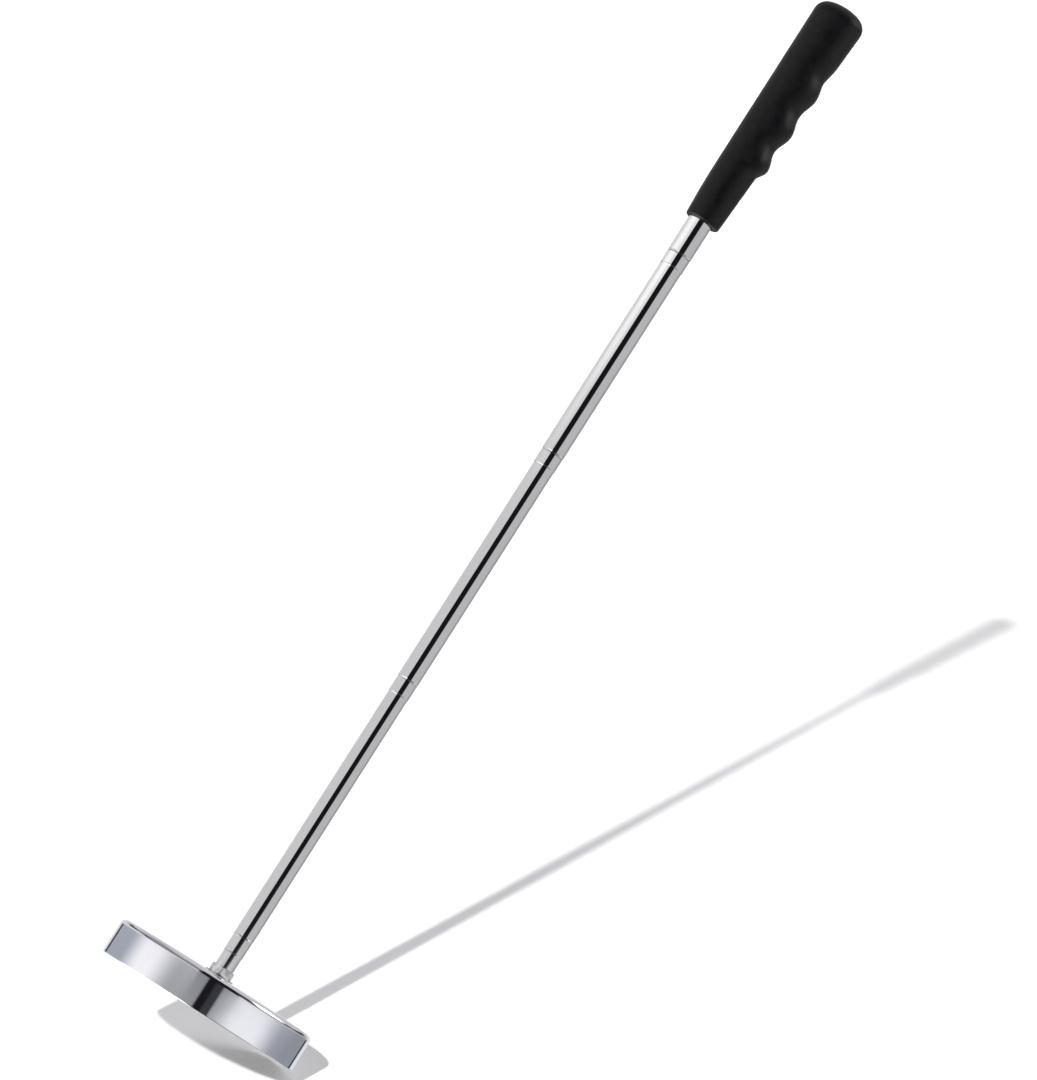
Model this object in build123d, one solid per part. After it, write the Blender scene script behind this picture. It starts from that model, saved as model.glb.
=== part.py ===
from build123d import *
import math
import os

# A telescoping magnetic pick-up for nails: a flat round magnet in a plated steel cup, on a rod of
# five nested steel tubes, with a soft grip on the outermost tube.
# Frame: +Z runs up the rod's axis, and the origin is the centre of the cup's rim, which it stands on.
# The grip's finger ridges face +X. All sizes are in millimetres.

# ---- head ----
CUP_RADIUS = 60.0
CUP_EDGE_HEIGHT = 20.9
CUP_CROWN_HEIGHT = 21.9
CUP_WALL = 1.4
CUP_TOP_CORNER = 3.0
CUP_RIM_ROUND = 0.35
MAGNET_RECESS = 0.9
MAGNET_THICKNESS = 16.5
MAGNET_OUTER_RADIUS = 57.0
MAGNET_BORE_RADIUS = 17.0
MAGNET_EDGE = 0.6
POLE_RADIUS = 14.0
POLE_EDGE = 0.5
RESIN_RECESS = 0.4

# ---- fasteners of the head: an M8 stud with a thin nut and a plain washer ----
STUD_RADIUS = 4.0
THREAD_DEPTH = 0.6
THREAD_PITCH = 1.25
THREAD_LEAD_IN = 1.0
THREAD_CREST = 0.1
NUT_ACROSS_FLATS = 13.0
NUT_HEIGHT = 4.5
NUT_CHAMFER = 0.9
NUT_CHAMFER_HEIGHT = 0.45
NUT_CORNER_AT = -96.4
WASHER_RADIUS = 8.5
WASHER_THICKNESS = 0.6
WASHER_EDGE = 0.2
STUD_REACH_BELOW_CUP = 12.0
STUD_REACH_IN_TUBE = 18.0
STUD_LEAD_IN = 0.8

# ---- rod: tube 1 is the innermost, at the head, and tube 5 the outermost, in the grip ----
TUBE_COUNT = 5
INNERMOST_RADIUS = 5.55
RADIUS_STEP = 0.41
TUBE_WALL = 0.20
NECK_CLEARANCE = 0.05
RING_HEIGHTS = (0.0, 9.9, 9.3, 8.5, 8.3)
RING_DEPTH = 0.20
RING_GROOVE_RADIUS = 1.8
TUBE_END_ROUND = 0.08
THROAT_RISE = 0.8
SHOWN_AT_REST = (8.7, 165.1, 148.0, 130.6, 30.7)
LENGTH_STEP = 7.5

# ---- the stop bush and friction clip at the upper end of each inner tube ----
BUSH_FLANGE = 1.5
BUSH_SKIRT = 4.5
BUSH_WALL = 0.9
BUSH_BORE_CLEARANCE = 0.04
CLIP_TUBE_CLEARANCE = 0.035
CLIP_THICKNESS = 0.10
CLIP_LENGTH = 6.2
CLIP_END_GAP = 0.3
CLIP_SLIT = 2.4
STOP_GAP = 0.9

# ---- grip ----
GRIP_LENGTH = 144.8
GRIP_PALM_SIDE = 10.6
GRIP_FINGER_SIDE_TOP = 18.7
GRIP_FINGER_SIDE_BOTTOM = 11.0
GRIP_PALM_SIDE_BOTTOM = 9.5
GRIP_PALM_BEND = 112.0
GRIP_TOP_CORNER = 8.0
GRIP_BOTTOM_CORNER = 1.2
RIDGE_DEPTHS = (52.9, 77.7, 101.1)
RIDGE_PROUD = (2.0, 2.5, 2.9)
RIDGE_HALF_LENGTH = 8.0
RIDGE_AXIS_SHIFT = 5.0
RIDGE_BULGE = 2.0
HEAD_SWELL_DEPTH = 38.0
HEAD_SWELL_PROUD = 1.5
HEAD_SWELL_ROUND = 3.0
PLUG_FLANGE = 1.2
PLUG_EDGE = 0.5

# How far a cutting tool runs past the face it cuts through.
OVERSHOOT = 1.0

# ---- places along the rod's axis ----
NUT_TOP = CUP_CROWN_HEIGHT + WASHER_THICKNESS + NUT_HEIGHT
MAGNET_TOP = MAGNET_RECESS + MAGNET_THICKNESS


def tube_radius(number):
    """Outside radius of a tube."""
    return INNERMOST_RADIUS + RADIUS_STEP * (number - 1)


def bore_radius(number):
    """Inside radius of a tube, above its neck."""
    return tube_radius(number) - TUBE_WALL


def least_overlap(number):
    """How much of a tube stays inside the next one when it is drawn right out."""
    return RING_HEIGHTS[number] + STOP_GAP + CLIP_LENGTH + CLIP_END_GAP


def tube_length(number):
    """Tube 2 is drawn right out as the tool stands, and the outer ones are each a step shorter."""
    second = SHOWN_AT_REST[1] + least_overlap(2)
    if number == 1:
        return second + SHOWN_AT_REST[0] - BUSH_SKIRT - BUSH_FLANGE - STOP_GAP
    return second - LENGTH_STEP * (number - 2)


def tube_bottom(number):
    """Height of a tube's lower end as the tool stands."""
    return NUT_TOP + sum(SHOWN_AT_REST[: number - 1])


def tube_top(number):
    """Height of a tube's upper end as the tool stands."""
    return tube_bottom(number) + tube_length(number)


GRIP_BOTTOM = tube_bottom(TUBE_COUNT) + SHOWN_AT_REST[TUBE_COUNT - 1]
GRIP_TOP = GRIP_BOTTOM + GRIP_LENGTH


def disc(radius, low, high, centre_x=0.0):
    """Upright cylinder between two heights."""
    base = Plane.XY.offset(low)
    return extrude(base * Pos(centre_x, 0) * Circle(radius), high - low)


def ring(outer, inner, low, high):
    """Upright ring between two heights."""
    return disc(outer, low, high) - disc(inner, low - OVERSHOOT, high + OVERSHOOT)


def spun(*edges):
    """Solid swept by a closed half outline, drawn in XZ, turned about the Z axis."""
    return revolve(make_face(Plane.XZ * Wire(edges)), Axis.Z)


def rims(shape):
    """Full-circle edges of a solid, from the lowest up."""
    return shape.edges().filter_by(lambda edge: edge.is_closed).sort_by(Axis.Z)


def crowned_drum(radius, edge_height, crown_height, corner):
    """Drum with a flat bottom, a gently crowned top and a rounded top corner."""
    # The crown falls with the square of the distance, so a quarter of the way by half radius.
    middle = (radius / 2, crown_height - (crown_height - edge_height) / 4)
    drum = spun(
        Line((0, 0), (radius, 0)),
        Line((radius, 0), (radius, edge_height)),
        ThreePointArc((radius, edge_height), middle, (0, crown_height)),
        Line((0, crown_height), (0, 0)),
    )
    return fillet(rims(drum)[-1], corner)


def cup_hollow():
    """The space inside the cup."""
    return crowned_drum(
        CUP_RADIUS - CUP_WALL,
        CUP_EDGE_HEIGHT - CUP_WALL,
        CUP_CROWN_HEIGHT - CUP_WALL,
        CUP_TOP_CORNER - CUP_WALL,
    )


def magnet_cup():
    """Drawn cup with a hole for the stud in its crowned top."""
    outside = crowned_drum(CUP_RADIUS, CUP_EDGE_HEIGHT, CUP_CROWN_HEIGHT, CUP_TOP_CORNER)
    cup = outside - cup_hollow() - disc(STUD_RADIUS, 0, CUP_CROWN_HEIGHT + OVERSHOOT)
    return fillet(rims(cup)[:2], CUP_RIM_ROUND)


def ring_magnet():
    """Ferrite ring with ground faces and broken edges."""
    magnet = ring(MAGNET_OUTER_RADIUS, MAGNET_BORE_RADIUS, MAGNET_RECESS, MAGNET_TOP)
    return chamfer(rims(magnet), MAGNET_EDGE)


def centre_pole():
    """Steel boss under the cup's top, tapped for the stud."""
    pole = disc(POLE_RADIUS, MAGNET_RECESS, CUP_CROWN_HEIGHT) & cup_hollow()
    pole = chamfer(rims(pole)[0], POLE_EDGE)
    tapped_from = CUP_CROWN_HEIGHT - STUD_REACH_BELOW_CUP
    return pole - disc(STUD_RADIUS, tapped_from, CUP_CROWN_HEIGHT + OVERSHOOT)


def potting_resin():
    """Resin that fills over the magnet and down both its sides, a little short of its face."""
    low = MAGNET_RECESS + RESIN_RECESS
    fill = cup_hollow() & ring(CUP_RADIUS, POLE_RADIUS, low, CUP_CROWN_HEIGHT)
    return fill - ring_magnet()


def thread_grooves(low, high):
    """Ring grooves that stand for a thread's valleys between two heights."""
    count = int((high - low) / THREAD_PITCH)
    half = THREAD_PITCH / 2
    root = STUD_RADIUS - THREAD_DEPTH
    mouth = STUD_RADIUS + THREAD_CREST
    grooves = []
    for index in range(count):
        middle = low + THREAD_PITCH * (index + 0.5)
        grooves.append(
            spun(
                Line((mouth, middle - half), (root, middle)),
                Line((root, middle), (mouth, middle + half)),
                Line((mouth, middle + half), (mouth, middle - half)),
            )
        )
    return grooves


def stem_stud():
    """Turned stud: its threaded end is screwed into the head, its plain end pressed into tube 1."""
    low = CUP_CROWN_HEIGHT - STUD_REACH_BELOW_CUP
    threaded = disc(STUD_RADIUS, low, NUT_TOP)
    threaded = chamfer(rims(threaded)[0], THREAD_DEPTH)
    plain = disc(bore_radius(1), NUT_TOP, NUT_TOP + STUD_REACH_IN_TUBE)
    plain = chamfer(rims(plain)[-1], STUD_LEAD_IN)
    stud = threaded + plain
    for groove in thread_grooves(low + THREAD_LEAD_IN, CUP_CROWN_HEIGHT - CUP_WALL):
        stud -= groove
    return stud


def flat_washer():
    """Plain washer between the cup and the nut."""
    top = CUP_CROWN_HEIGHT + WASHER_THICKNESS
    under_crown = crowned_drum(CUP_RADIUS, CUP_EDGE_HEIGHT, CUP_CROWN_HEIGHT, CUP_TOP_CORNER)
    washer = ring(WASHER_RADIUS, STUD_RADIUS, CUP_EDGE_HEIGHT, top) - under_crown
    top_rims = rims(washer).filter_by_position(Axis.Z, top - WASHER_EDGE, top + WASHER_EDGE)
    return fillet(top_rims.sort_by(SortBy.RADIUS)[-1], WASHER_EDGE)


def jam_nut():
    """Thin hexagon nut with both faces chamfered."""
    low = NUT_TOP - NUT_HEIGHT
    corner_radius = NUT_ACROSS_FLATS / math.sqrt(3)
    outline = RegularPolygon(corner_radius, 6, rotation=NUT_CORNER_AT)
    blank = extrude(Plane.XY.offset(low) * outline, NUT_HEIGHT)
    chamfered = disc(corner_radius, low, NUT_TOP)
    chamfered = chamfer(rims(chamfered), NUT_CHAMFER_HEIGHT, NUT_CHAMFER)
    return (blank & chamfered) - disc(STUD_RADIUS, low - OVERSHOOT, NUT_TOP + OVERSHOOT)


def plain_tube(number):
    """Innermost tube, the same size all the way up."""
    return ring(tube_radius(number), bore_radius(number), tube_bottom(number), tube_top(number))


def necked_tube(number):
    """Tube whose lower end is rolled in to a neck, under a groove rolled round it."""
    low = tube_bottom(number)
    high = tube_top(number)
    groove_at = low + RING_HEIGHTS[number - 1]
    outer = tube_radius(number)
    neck_bore = tube_radius(number - 1) + NECK_CLEARANCE
    neck_outer = neck_bore + TUBE_WALL
    neck = ring(neck_outer, neck_bore, low, groove_at)
    neck = fillet(rims(neck)[:2], TUBE_END_ROUND)
    barrel = ring(outer, bore_radius(number), groove_at, high)
    throat = ring(neck_outer, neck_bore, groove_at - THROAT_RISE, groove_at + THROAT_RISE)
    centre = outer - RING_DEPTH + RING_GROOVE_RADIUS
    groove = Pos(0, 0, groove_at) * Torus(centre, RING_GROOVE_RADIUS)
    return (neck + barrel + throat) - groove


def stop_bush(number):
    """Brass bush pressed into a tube's upper end; its flange can't pass the next tube's neck."""
    top = tube_top(number)
    skirt_outer = bore_radius(number)
    hole = skirt_outer - BUSH_WALL
    flange = ring(bore_radius(number + 1) - BUSH_BORE_CLEARANCE, hole, top, top + BUSH_FLANGE)
    skirt = ring(skirt_outer, hole, top - BUSH_SKIRT, top)
    return flange + skirt


def friction_clip(number):
    """Split spring sleeve round a tube's upper end, which rubs on the next tube's bore."""
    inner = tube_radius(number) + CLIP_TUBE_CLEARANCE
    high = tube_top(number) - CLIP_END_GAP / 2
    low = high - CLIP_LENGTH
    sleeve = ring(inner + CLIP_THICKNESS, inner, low, high)
    slit = Pos(-inner, 0, (low + high) / 2) * Box(CLIP_SLIT, CLIP_SLIT, CLIP_LENGTH + OVERSHOOT)
    return sleeve - slit


def end_plug():
    """Plastic plug that closes the outermost tube inside the grip."""
    top = tube_top(TUBE_COUNT)
    flange = disc(tube_radius(TUBE_COUNT), top, top + PLUG_FLANGE)
    flange = fillet(rims(flange)[-1], PLUG_EDGE)
    body = disc(bore_radius(TUBE_COUNT), top - BUSH_SKIRT, top)
    return flange + body


def grip_section(depth):
    """Centre and radius of the grip's round section at a depth below its top, without ridges."""
    share = depth / GRIP_LENGTH
    finger = GRIP_FINGER_SIDE_TOP + share * (GRIP_FINGER_SIDE_BOTTOM - GRIP_FINGER_SIDE_TOP)
    past_bend = max(0.0, depth - GRIP_PALM_BEND) / (GRIP_LENGTH - GRIP_PALM_BEND)
    palm = GRIP_PALM_SIDE + past_bend * (GRIP_PALM_SIDE_BOTTOM - GRIP_PALM_SIDE)
    return (finger - palm) / 2, (finger + palm) / 2


def grip_body():
    """Tapered grip, straight on the palm side and wider towards its top on the finger side."""
    spans = []
    for upper, lower in ((0.0, GRIP_PALM_BEND), (GRIP_PALM_BEND, GRIP_LENGTH)):
        sections = []
        for depth in (lower, upper):
            centre, radius = grip_section(depth)
            sections.append(Plane.XY.offset(GRIP_TOP - depth) * Pos(centre, 0) * Circle(radius))
        spans.append(loft(sections))
    body = spans[0] + spans[1]
    body = fillet(rims(body)[-1], GRIP_TOP_CORNER)
    return fillet(rims(body)[0], GRIP_BOTTOM_CORNER)


def finger_ridge(depth, proud):
    """Round-edged disc set towards +X, so that it stands out of the grip on the finger side only."""
    centre, radius = grip_section(depth)
    reach = radius + proud - RIDGE_AXIS_SHIFT
    middle = GRIP_TOP - depth
    inside = reach - RIDGE_BULGE * proud
    lens = spun(
        Line((0, middle - RIDGE_HALF_LENGTH), (inside, middle - RIDGE_HALF_LENGTH)),
        ThreePointArc(
            (inside, middle - RIDGE_HALF_LENGTH),
            (reach, middle),
            (inside, middle + RIDGE_HALF_LENGTH),
        ),
        Line((inside, middle + RIDGE_HALF_LENGTH), (0, middle + RIDGE_HALF_LENGTH)),
        Line((0, middle + RIDGE_HALF_LENGTH), (0, middle - RIDGE_HALF_LENGTH)),
    )
    return Pos(centre + RIDGE_AXIS_SHIFT, 0, 0) * lens


def head_swelling():
    """The grip's slightly wider upper end on the finger side."""
    centre, radius = grip_section(HEAD_SWELL_DEPTH / 2)
    swelling = disc(
        radius + HEAD_SWELL_PROUD - RIDGE_AXIS_SHIFT,
        GRIP_TOP - HEAD_SWELL_DEPTH,
        GRIP_TOP,
        centre + RIDGE_AXIS_SHIFT,
    )
    swelling = fillet(rims(swelling)[-1], GRIP_TOP_CORNER)
    return fillet(rims(swelling)[0], HEAD_SWELL_ROUND)


def grip():
    """Soft grip, closed at its top, pushed over the outermost tube and its plug."""
    shape = grip_body() + head_swelling()
    for depth, proud in zip(RIDGE_DEPTHS, RIDGE_PROUD):
        shape += finger_ridge(depth, proud)
    pocket_top = tube_top(TUBE_COUNT) + PLUG_FLANGE
    return shape - disc(tube_radius(TUBE_COUNT), GRIP_BOTTOM - OVERSHOOT, pocket_top)


def all_parts():
    """Every node's name and solid."""
    parts = {
        "magnet_cup": magnet_cup(),
        "ring_magnet": ring_magnet(),
        "centre_pole": centre_pole(),
        "potting_resin": potting_resin(),
        "stem_stud": stem_stud(),
        "flat_washer": flat_washer(),
        "jam_nut": jam_nut(),
        "tube_1": plain_tube(1),
        "end_plug": end_plug(),
        "grip": grip(),
    }
    for number in range(2, TUBE_COUNT + 1):
        parts[f"tube_{number}"] = necked_tube(number)
    for number in range(1, TUBE_COUNT):
        parts[f"stop_bush_{number}"] = stop_bush(number)
        parts[f"friction_clip_{number}"] = friction_clip(number)
    return parts


def print_travel():
    """Shortest, standing and longest shown length of each sliding tube."""
    for number in range(1, TUBE_COUNT):
        shortest = tube_length(number) + BUSH_FLANGE + STOP_GAP + BUSH_SKIRT - tube_length(number + 1)
        longest = tube_length(number) - least_overlap(number)
        shown = SHOWN_AT_REST[number - 1]
        print(f"tube {number}: shows {shortest:.2f} to {longest:.2f}, and {shown:.2f} as it stands")


os.makedirs("parts", exist_ok=True)
for name, solid in all_parts().items():
    export_step(solid, f"parts/{name}.step")
print_travel()
print(f"tool height {GRIP_TOP:.2f}, tube 5 top {tube_top(TUBE_COUNT):.2f}, grip bottom {GRIP_BOTTOM:.2f}")
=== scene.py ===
import logging
import math
from dataclasses import dataclass, field
from enum import Enum
from typing import Callable, Sequence

import bmesh
import bpy
from mathutils import Matrix, Vector


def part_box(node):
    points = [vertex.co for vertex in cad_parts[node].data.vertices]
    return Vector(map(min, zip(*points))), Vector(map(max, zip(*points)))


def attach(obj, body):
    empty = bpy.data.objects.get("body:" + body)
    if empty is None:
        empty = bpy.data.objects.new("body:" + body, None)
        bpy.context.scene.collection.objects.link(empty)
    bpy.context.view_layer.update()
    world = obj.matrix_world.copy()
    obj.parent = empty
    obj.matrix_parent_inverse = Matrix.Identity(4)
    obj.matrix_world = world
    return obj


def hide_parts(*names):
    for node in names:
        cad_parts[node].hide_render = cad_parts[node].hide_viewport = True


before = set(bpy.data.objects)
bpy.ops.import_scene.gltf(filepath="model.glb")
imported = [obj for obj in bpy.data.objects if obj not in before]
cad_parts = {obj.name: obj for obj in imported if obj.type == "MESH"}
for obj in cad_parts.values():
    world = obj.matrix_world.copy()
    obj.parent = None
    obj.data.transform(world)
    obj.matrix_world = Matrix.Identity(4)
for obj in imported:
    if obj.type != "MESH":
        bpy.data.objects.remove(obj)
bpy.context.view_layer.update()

LOG = logging.getLogger("nail_sweeper")
MM = 0.001
NEARLY_STRAIGHT = math.radians(89.5)
Point2 = tuple[float, float]
Colour = tuple[float, float, float]


class Grain(Enum):
    """Which way a finish's fine marks run."""

    ALONG_ROD = "along the rod"
    ROUND_ROD = "round the rod"
    EVEN = "the same all ways"


# ---------------------------------------------------------------------------------------------
# Outlines and meshes
# ---------------------------------------------------------------------------------------------


def arc(centre: Point2, radius: float, start: float, end: float, steps: int) -> list[Point2]:
    """Points along a round stretch of an outline.

    Args:
        centre: The arc's centre, as (radius from the axis, height).
        radius: The arc's own radius.
        start: Angle of its first point in degrees, 0 pointing away from the axis.
        end: Angle of its last point in degrees.
        steps: Number of spans between the first and last points.

    Returns:
        The arc's points, both ends included.
    """
    points = []
    for index in range(steps + 1):
        angle = math.radians(start + (end - start) * index / steps)
        points.append((centre[0] + radius * math.cos(angle), centre[1] + radius * math.sin(angle)))
    return points


def eased(value: float) -> float:
    """A 0 to 1 ramp with soft ends, for a value that may lie outside 0 to 1."""
    share = min(1.0, max(0.0, value))
    return share * share * (3.0 - 2.0 * share)


def rounded(corners: Sequence[Point2], radii: Sequence[float], steps: int = 5) -> list[Point2]:
    """Rounds the corners of a closed outline.

    Args:
        corners: The outline's corners in order.
        radii: One rounding radius per corner, 0 for a sharp one.
        steps: Spans in each rounding.

    Returns:
        The outline's points.
    """
    points: list[Point2] = []
    count = len(corners)
    for index, corner in enumerate(corners):
        here = Vector(corner)
        before = (Vector(corners[index - 1]) - here).normalized()
        after = (Vector(corners[(index + 1) % count]) - here).normalized()
        radius = radii[index]
        half_turn = before.angle(after) / 2
        if radius <= 0 or half_turn > NEARLY_STRAIGHT:
            points.append(corner)
            continue
        setback = radius / math.tan(half_turn)
        middle = here + (before + after).normalized() * (radius / math.sin(half_turn))
        first = (here + before * setback - middle).normalized()
        last = (here + after * setback - middle).normalized()
        for step in range(steps + 1):
            spoke = first.slerp(last, step / steps) * radius
            points.append((middle.x + spoke.x, middle.y + spoke.y))
    return points


def guarded(
    outline: Sequence[Point2], reach: float = 0.05 * MM, shortest: float = 0.3 * MM
) -> list[Point2]:
    """Adds a point near both ends of each long straight stretch, so its shading stays straight.

    Args:
        outline: A closed outline.
        reach: Distance of the added points from the stretch's ends.
        shortest: Stretches up to this long are left alone.

    Returns:
        The outline with the extra points.
    """
    points = []
    for index, corner in enumerate(outline):
        here = Vector(corner)
        along = Vector(outline[(index + 1) % len(outline)]) - here
        points.append(corner)
        if along.length > shortest:
            step = along.normalized() * reach
            points.append(tuple(here + step))
            points.append(tuple(here + along - step))
    return points


def finish_mesh(name: str, shape: bmesh.types.BMesh, sharp_from: float = 35.0) -> bpy.types.Object:
    """Turns a bmesh into a smooth-shaded object.

    Args:
        name: Name of the new piece.
        shape: The bmesh, which is freed.
        sharp_from: Edges that turn more than this many degrees stay crisp.

    Returns:
        The new object, linked to the scene.
    """
    bmesh.ops.recalc_face_normals(shape, faces=shape.faces)
    mesh = bpy.data.meshes.new(name)
    shape.to_mesh(mesh)
    shape.free()
    for polygon in mesh.polygons:
        polygon.use_smooth = True
    mesh.set_sharp_from_angle(angle=math.radians(sharp_from))
    piece = bpy.data.objects.new(name, mesh)
    bpy.context.scene.collection.objects.link(piece)
    return piece


def lathe(name: str, outline: Sequence[Point2], segments: int) -> bpy.types.Object:
    """Turns a closed outline about the rod's axis into a ring-shaped piece.

    Args:
        name: Name of the new piece.
        outline: Closed outline as (radius, height) points in metres, clear of the axis.
        segments: Number of steps round the axis.

    Returns:
        The new object.
    """
    shape = bmesh.new()
    rings = []
    points = guarded(outline)
    for index in range(segments):
        angle = 2 * math.pi * index / segments
        turn = (math.cos(angle), math.sin(angle))
        rings.append([shape.verts.new((r * turn[0], r * turn[1], z)) for r, z in points])
    count = len(points)
    for index, ring in enumerate(rings):
        beside = rings[(index + 1) % segments]
        for point in range(count):
            after = (point + 1) % count
            shape.faces.new((ring[point], beside[point], beside[after], ring[after]))
    return finish_mesh(name, shape)


def stack(name: str, sections: Sequence[Sequence[Vector]], closed: bool) -> bpy.types.Object:
    """Skins a stack of rings with the same number of points each.

    Args:
        name: Name of the new piece.
        sections: The rings in order.
        closed: True joins the last ring to the first, as round a hole; False caps both ends.

    Returns:
        The new object.
    """
    shape = bmesh.new()
    rings = [[shape.verts.new(point) for point in section] for section in sections]
    count = len(rings[0])
    spans = len(rings) if closed else len(rings) - 1
    for index in range(spans):
        low = rings[index]
        high = rings[(index + 1) % len(rings)]
        for point in range(count):
            after = (point + 1) % count
            shape.faces.new((low[point], low[after], high[after], high[point]))
    if not closed:
        shape.faces.new(list(reversed(rings[0])))
        shape.faces.new(rings[-1])
    return finish_mesh(name, shape)


# ---------------------------------------------------------------------------------------------
# Shader nodes
# ---------------------------------------------------------------------------------------------


class NodeSheet:
    """A node tree with short ways to add and join nodes."""

    def __init__(self, tree: bpy.types.NodeTree) -> None:
        """Works on the given tree."""
        self.tree = tree

    def add(self, kind: str, **settings: object) -> bpy.types.Node:
        """Adds a node.

        Args:
            kind: The node's type name, without its "ShaderNode" start.
            settings: Node properties to set.

        Returns:
            The new node.
        """
        node = self.tree.nodes.new("ShaderNode" + kind)
        for key, value in settings.items():
            setattr(node, key, value)
        return node

    def join(self, source: bpy.types.NodeSocket, target: bpy.types.NodeSocket) -> None:
        """Links one socket to another."""
        self.tree.links.new(source, target)

    def feed(self, node: bpy.types.Node, **inputs: object) -> bpy.types.Node:
        """Sets or links a node's inputs by name, with underscores for spaces, or by number as i0, i1.

        Args:
            node: The node to feed.
            inputs: A socket to link, or a plain value to set, for each input.

        Returns:
            The same node.
        """
        for key, value in inputs.items():
            numbered = key[0] == "i" and key[1:].isdigit()
            name = int(key[1:]) if numbered else key.replace("_", " ")
            self.put(node.inputs[name], value)
        return node

    def put(self, socket: bpy.types.NodeSocket, value: object) -> None:
        """Links another socket to this one, or sets its plain value."""
        if isinstance(value, bpy.types.NodeSocket):
            self.join(value, socket)
        else:
            socket.default_value = value

    def blend(
        self, first: bpy.types.NodeSocket, second: bpy.types.NodeSocket, share: float
    ) -> bpy.types.NodeSocket:
        """Adds two values, with this share of the first and the rest of the second."""
        some = self.math("MULTIPLY", first, share)
        return self.math("ADD", some, self.math("MULTIPLY", second, 1.0 - share))

    def math(self, operation: str, first: object, second: object = 0.0) -> bpy.types.NodeSocket:
        """One sum of two numbers or sockets; returns its result socket."""
        node = self.add("Math", operation=operation)
        self.feed(node, i0=first, i1=second)
        return node.outputs[0]

    def ramp(self, value: bpy.types.NodeSocket, low: float, high: float) -> bpy.types.NodeSocket:
        """A soft 0 to 1 step as a value passes from low to high; returns its result socket."""
        node = self.add("MapRange", interpolation_type="SMOOTHSTEP")
        self.feed(node, Value=value, From_Min=low, From_Max=high)
        return node.outputs["Result"]

    def noise(self, vector: bpy.types.NodeSocket, scale: object, detail: float) -> bpy.types.NodeSocket:
        """Noise at so many cycles a metre; returns its 0 to 1 socket."""
        node = self.add("TexNoise")
        self.feed(node, Vector=vector, Scale=scale, Detail=detail)
        return node.outputs["Fac"]

    def mix(self, share: object, first: object, second: object) -> bpy.types.NodeSocket:
        """Mixes two colours by a 0 to 1 share; returns the result socket."""
        node = self.add("Mix", data_type="RGBA")
        self.feed(node, i0=share, i6=first, i7=second)
        return node.outputs[2]


@dataclass(frozen=True)
class EffectGroup:
    """A shared surface effect, kept as a node group with named inputs and outputs."""

    name: str
    inputs: tuple[tuple[str, float], ...]
    outputs: tuple[str, ...]
    make: Callable[[NodeSheet, bpy.types.Node, bpy.types.Node], None]

    def tree(self) -> bpy.types.NodeTree:
        """The group's node tree, built the first time it is asked for."""
        if self.name in bpy.data.node_groups:
            return bpy.data.node_groups[self.name]
        tree = bpy.data.node_groups.new(self.name, "ShaderNodeTree")
        for socket, value in self.inputs:
            made = tree.interface.new_socket(name=socket, in_out="INPUT", socket_type="NodeSocketFloat")
            made.default_value = value
        for socket in self.outputs:
            tree.interface.new_socket(name=socket, in_out="OUTPUT", socket_type="NodeSocketFloat")
        entry = tree.nodes.new("NodeGroupInput")
        leave = tree.nodes.new("NodeGroupOutput")
        self.make(NodeSheet(tree), entry, leave)
        return tree

    def place(self, sheet: NodeSheet, **values: float) -> bpy.types.Node:
        """Places the group in a material.

        Args:
            sheet: The material's node sheet.
            values: The group's input values by name, with underscores for spaces.

        Returns:
            The group node.
        """
        node = sheet.add("Group")
        node.node_tree = self.tree()
        return sheet.feed(node, **values)


def make_streaks(sheet: NodeSheet, entry: bpy.types.Node, leave: bpy.types.Node) -> None:
    """Fine drawn or brushed lines: noise that is stretched along one way by the group's inputs."""
    coarse_scale = 0.21
    fine_share = 0.6
    place = sheet.add("TexCoord").outputs["Object"]
    stretch = sheet.add("CombineXYZ")
    sheet.feed(stretch, X=entry.outputs["Across"], Y=entry.outputs["Across"], Z=entry.outputs["Along"])
    scaled = sheet.add("VectorMath", operation="MULTIPLY")
    sheet.feed(scaled, i0=place, i1=stretch.outputs[0])
    fine = sheet.noise(scaled.outputs[0], 1.0, 4.0)
    coarse = sheet.noise(scaled.outputs[0], coarse_scale, 2.0)
    sheet.join(sheet.blend(fine, coarse, fine_share), leave.inputs["Lines"])


def make_handling(sheet: NodeSheet, entry: bpy.types.Node, leave: bpy.types.Node) -> None:
    """Faint smears and dull patches from hands, with soft edges."""
    smears_to_a_patch = 6.0
    patch_from, patch_full = 0.42, 0.7
    place = sheet.add("TexCoord").outputs["Object"]
    scale = entry.outputs["Patch Scale"]
    wide = sheet.noise(place, scale, 3.0)
    small = sheet.noise(place, sheet.math("MULTIPLY", scale, smears_to_a_patch), 5.0)
    patches = sheet.ramp(wide, patch_from, patch_full)
    sheet.join(sheet.math("MULTIPLY", patches, small), leave.inputs["Smears"])


def make_edge_wear(sheet: NodeSheet, entry: bpy.types.Node, leave: bpy.types.Node) -> None:
    """Wear that follows outside edges and breaks up along them."""
    edge_from, edge_full = 0.52, 0.60
    break_from, break_full = 0.35, 0.65
    bend = sheet.add("NewGeometry").outputs["Pointiness"]
    place = sheet.add("TexCoord").outputs["Object"]
    broken = sheet.noise(place, entry.outputs["Break Scale"], 4.0)
    raised = sheet.ramp(bend, edge_from, edge_full)
    patchy = sheet.ramp(broken, break_from, break_full)
    sheet.join(sheet.math("MULTIPLY", raised, patchy), leave.inputs["Worn"])


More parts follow.
